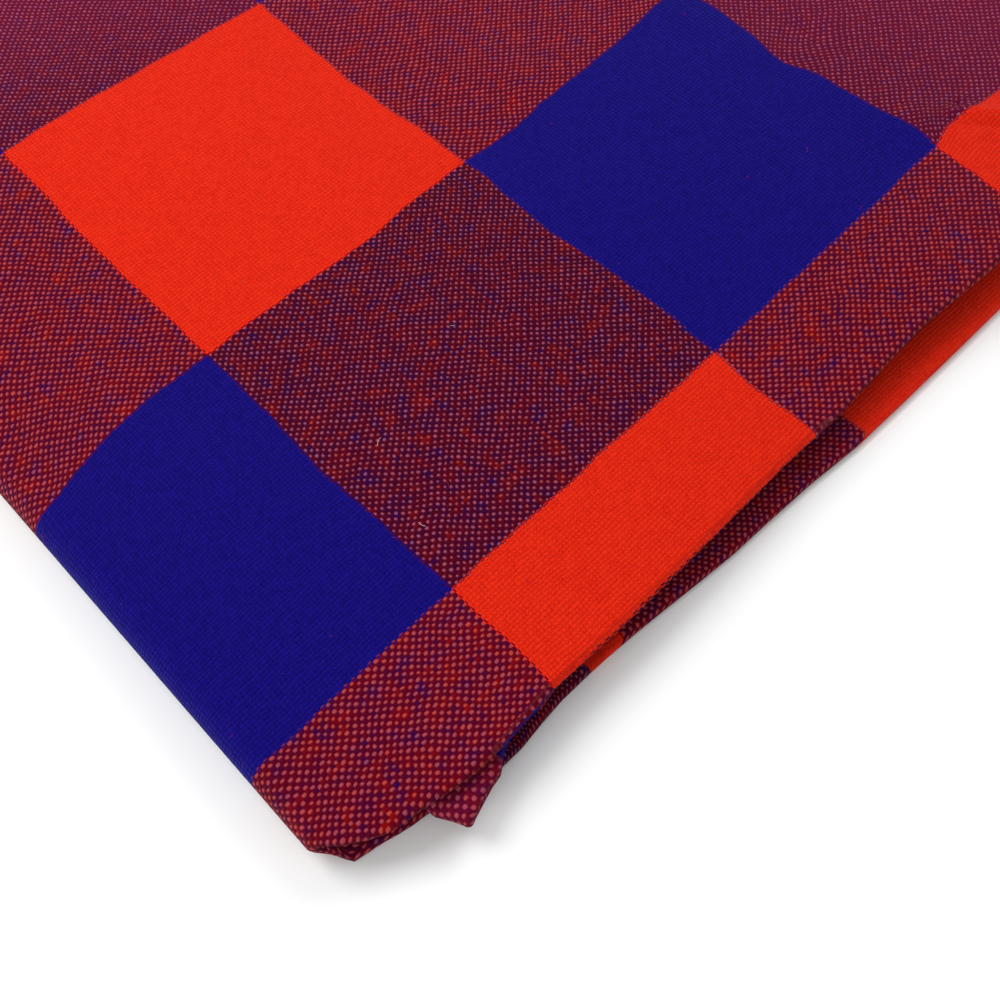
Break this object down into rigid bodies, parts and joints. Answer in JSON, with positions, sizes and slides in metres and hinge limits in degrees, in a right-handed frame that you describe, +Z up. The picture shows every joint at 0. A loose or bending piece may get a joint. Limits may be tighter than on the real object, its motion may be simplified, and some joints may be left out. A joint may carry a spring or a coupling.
{
  "type": "maasai shuka blanket",
  "caption": "Folded woven blanket in a large red and blue check, laid flat: folded back and forth along its length, then once in half.",
  "frame": {"origin": "middle of the folded pack's outline, on the surface it lies on", "axes": "+X along the long side of the folded pack, away from its wrap-over fold; +Y away from its front folds; +Z up, through the layers"},
  "size_m": [0.7663, 0.5024, 0.0148],
  "materials": {
    "woven_cloth": "plain woven acrylic yarn, matt, red and royal blue check"
  },
  "bodies": {
    "root": {"folded_blanket": "woven_cloth"}
  },
  "joints": []
}
